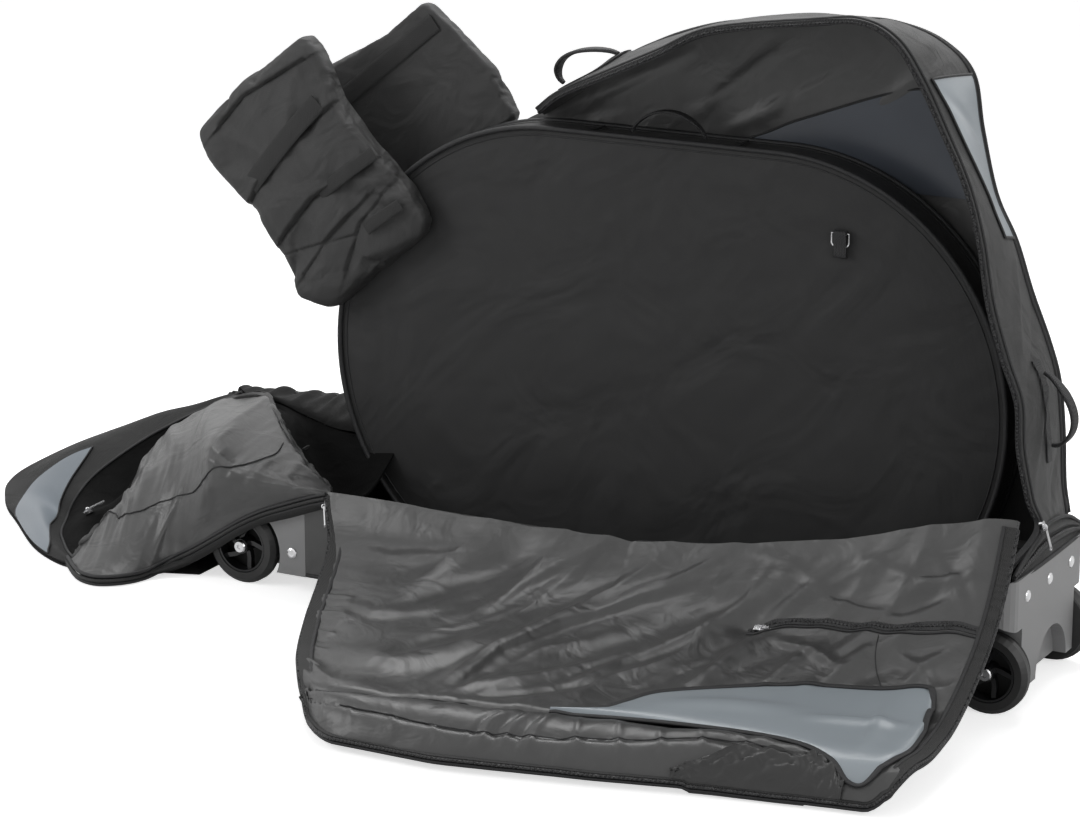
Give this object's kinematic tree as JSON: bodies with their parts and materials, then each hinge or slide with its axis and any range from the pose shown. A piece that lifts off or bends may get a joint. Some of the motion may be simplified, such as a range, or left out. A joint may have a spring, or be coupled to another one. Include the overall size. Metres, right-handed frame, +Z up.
{
  "type": "soft bike travel bag",
  "caption": "Soft bike travel bag on a wheeled tray, opened flat, with a flat wheel compartment, an arched hood, a fallen side and end, and a padded handlebar cover.",
  "frame": {"origin": "on the ground, below the middle of the opened bag's bounding box", "axes": "+X along the bag towards the hood's end, +Y from the open side towards the far wall, +Z up"},
  "size_m": [1.928, 0.8438, 0.957],
  "materials": {
    "outer_fabric": "matt woven outer cloth",
    "lining": "smooth satin lining",
    "pocket_fabric": "matt padded cloth",
    "patch_sheet": "smooth coated sheet",
    "moulded_cap": "satin moulded plastic",
    "tyre_rubber": "matt rubber",
    "gloss_rim": "gloss black",
    "bright_metal": "bright plated metal",
    "webbing": "woven black tape",
    "stiff_board": "matt sheet"
  },
  "bodies": {
    "base": {"base_tray": "outer_fabric", "floor_board": "stiff_board", "end_cap_left": "moulded_cap", "end_cap_right": "moulded_cap", "rivet_left_1": "bright_metal", "rivet_left_2": "bright_metal", "rivet_left_3": "bright_metal", "rivet_left_4": "bright_metal", "rivet_left_5": "bright_metal", "rivet_right_1": "bright_metal", "rivet_right_2": "bright_metal", "rivet_right_3": "bright_metal", "rivet_right_4": "bright_metal", "rivet_right_5": "bright_metal", "axle_bolt_1": "bright_metal", "axle_bolt_2": "bright_metal", "axle_bolt_3": "bright_metal", "axle_bolt_4": "bright_metal", "far_wall": "outer_fabric", "far_wall_patch": "patch_sheet", "hood_gusset": "outer_fabric", "hood_patch": "patch_sheet", "hood_zip_tape": "webbing", "top_handle_base": "webbing", "end_handle_base": "webbing", "end_gusset": "outer_fabric", "wheel_pocket_front": "pocket_fabric", "wheel_pocket_back": "pocket_fabric", "wheel_pocket_band": "pocket_fabric", "ring_tab": "webbing"},
    "wheel_1": {"wheel_1_tyre": "tyre_rubber", "wheel_1_hub": "gloss_rim"},
    "wheel_2": {"wheel_2_tyre": "tyre_rubber", "wheel_2_hub": "gloss_rim"},
    "wheel_3": {"wheel_3_tyre": "tyre_rubber", "wheel_3_hub": "gloss_rim"},
    "wheel_4": {"wheel_4_tyre": "tyre_rubber", "wheel_4_hub": "gloss_rim"},
    "side_panel": {"side_panel": "lining", "side_panel_patch": "patch_sheet", "side_panel_zip_tape": "webbing"},
    "end_panel": {"end_panel": "lining", "end_panel_patch": "patch_sheet", "end_panel_zip_tape": "webbing"},
    "pocket_lid": {"wheel_pocket_lid": "pocket_fabric"},
    "lid_handle": {"lid_handle": "webbing"},
    "d_ring": {"d_ring": "bright_metal"},
    "top_handle": {"top_handle": "webbing"},
    "end_handle": {"end_handle": "webbing"},
    "handlebar_cover": {"handlebar_pad_near": "outer_fabric", "handlebar_pad_far": "outer_fabric", "pad_bridge": "webbing"},
    "left_zip_slider": {"left_zip_slider": "bright_metal"},
    "left_zip_pull": {"left_zip_pull": "bright_metal"},
    "right_zip_slider": {"right_zip_slider": "bright_metal"},
    "right_zip_pull": {"right_zip_pull": "bright_metal"},
    "panel_pocket_slider": {"panel_pocket_slider": "bright_metal"},
    "panel_pocket_pull": {"panel_pocket_pull": "bright_metal"},
    "end_pocket_slider": {"end_pocket_slider": "bright_metal"},
    "end_pocket_pull": {"end_pocket_pull": "bright_metal"}
  },
  "joints": [
    {"name": "wheel_1_spin", "type": "hinge", "parent": "base", "child": "wheel_1", "pos_m": [-0.3395, 0.1154, 0.061], "axis": [0, 1, 0], "continuous": true},
    {"name": "wheel_2_spin", "type": "hinge", "parent": "base", "child": "wheel_2", "pos_m": [-0.3395, 0.3734, 0.061], "axis": [0, 1, 0], "continuous": true},
    {"name": "wheel_3_spin", "type": "hinge", "parent": "base", "child": "wheel_3", "pos_m": [0.9025, 0.1154, 0.061], "axis": [0, 1, 0], "continuous": true},
    {"name": "wheel_4_spin", "type": "hinge", "parent": "base", "child": "wheel_4", "pos_m": [0.9025, 0.3734, 0.061], "axis": [0, 1, 0], "continuous": true},
    {"name": "side_panel_hinge", "type": "hinge", "parent": "base", "child": "side_panel", "pos_m": [0.384, 0.0986, 0.175], "axis": [-1, 0, 0], "range_deg": [0, 105]},
    {"name": "end_panel_hinge", "type": "hinge", "parent": "base", "child": "end_panel", "pos_m": [-0.3791, 0.2444, 0.242], "axis": [0, 1, 0], "range_deg": [0, 90]},
    {"name": "pocket_lid_hinge", "type": "hinge", "parent": "base", "child": "pocket_lid", "pos_m": [0.2815, 0.3179, 0.73], "axis": [1, 0, 0], "range_deg": [0, 100]},
    {"name": "lid_handle_swing", "type": "hinge", "parent": "pocket_lid", "child": "lid_handle", "pos_m": [0.2815, 0.3426, 0.7317], "axis": [1, 0, 0], "range_deg": [-40, 40]},
    {"name": "d_ring_swing", "type": "hinge", "parent": "base", "child": "d_ring", "pos_m": [0.5795, 0.3029, 0.622], "axis": [-1, 0, 0], "range_deg": [0, 150]},
    {"name": "top_handle_swing", "type": "hinge", "parent": "base", "child": "top_handle", "pos_m": [0.16424, 0.31453, 0.82683], "axis": [0.8452, -0.2734, 0.4593], "range_deg": [-55, 55]},
    {"name": "end_handle_swing", "type": "hinge", "parent": "base", "child": "end_handle", "pos_m": [0.91096, 0.29472, 0.40315], "axis": [0.1529, 0, -0.9882], "range_deg": [-55, 55]},
    {"name": "handlebar_cover_lift", "type": "slide", "parent": "base", "child": "handlebar_cover", "axis": [0, 0, 1], "range_m": [0, 0.3]},
    {"name": "left_zip_slide", "type": "slide", "parent": "side_panel", "child": "left_zip_slider", "axis": [0.38, -0.551, -0.7429], "range_m": [0, 0.03]},
    {"name": "left_zip_pull_swing", "type": "hinge", "parent": "left_zip_slider", "child": "left_zip_pull", "pos_m": [-0.17599, 0.08646, 0.15522], "axis": [-0.4218, 0.6116, -0.6694], "range_deg": [0, 120]},
    {"name": "right_zip_slide", "type": "slide", "parent": "base", "child": "right_zip_slider", "axis": [-0.2797, -0.0184, 0.9599], "range_m": [0, 0.04]},
    {"name": "right_zip_pull_swing", "type": "hinge", "parent": "right_zip_slider", "child": "right_zip_pull", "pos_m": [0.94708, 0.20234, 0.2579], "axis": [0.0035, -0.9998, -0.0182], "range_deg": [0, 120]},
    {"name": "panel_pocket_slide", "type": "slide", "parent": "side_panel", "child": "panel_pocket_slider", "axis": [0.9941, 0.0971, 0.0482], "range_m": [0, 0.25]},
    {"name": "panel_pocket_pull_swing", "type": "hinge", "parent": "panel_pocket_slider", "child": "panel_pocket_pull", "pos_m": [0.59586, 0.00625, 0.11151], "axis": [0.1083, -0.91, -0.4003], "range_deg": [0, 120]},
    {"name": "end_pocket_slide", "type": "slide", "parent": "end_panel", "child": "end_pocket_slider", "axis": [0.8647, 0.1372, 0.4831], "range_m": [0, 0.2]},
    {"name": "end_pocket_pull_swing", "type": "hinge", "parent": "end_pocket_slider", "child": "end_pocket_pull", "pos_m": [-0.67746, 0.17223, 0.05308], "axis": [0.2401, -0.9578, -0.1578], "range_deg": [0, 120]}
  ]
}
